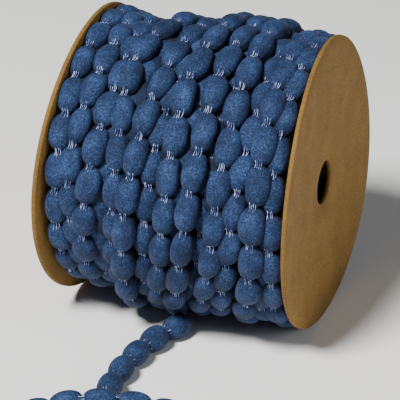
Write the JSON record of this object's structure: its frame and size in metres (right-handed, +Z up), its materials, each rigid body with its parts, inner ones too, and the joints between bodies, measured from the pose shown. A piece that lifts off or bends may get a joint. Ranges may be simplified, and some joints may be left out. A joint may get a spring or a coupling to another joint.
{
  "type": "pom pom trim on a cardboard reel",
  "caption": "Blue string of soft oval beads wound on a round cardboard reel that lies on its side, with the loose end on the table.",
  "frame": {"origin": "on the table under the middle of the reel, halfway between the discs and under the axle", "axes": "+X along the reel's axle towards the disc whose outside face shows, +Z up, -Y towards the front where the loose end lies"},
  "size_m": [0.0891, 0.1765, 0.1025],
  "materials": {
    "kraft_board": "matt brown kraft board, smooth pressed face and lighter cut edge",
    "core_board": "matt grey-brown spiral-wound board tube",
    "blue_trim": "soft matt denim-blue beads with pale glossy binding threads at each neck"
  },
  "bodies": {
    "root": {"disc_left": "kraft_board", "disc_right": "kraft_board", "core_tube": "core_board", "wound_trim": "blue_trim", "loose_end": "blue_trim"}
  },
  "joints": []
}
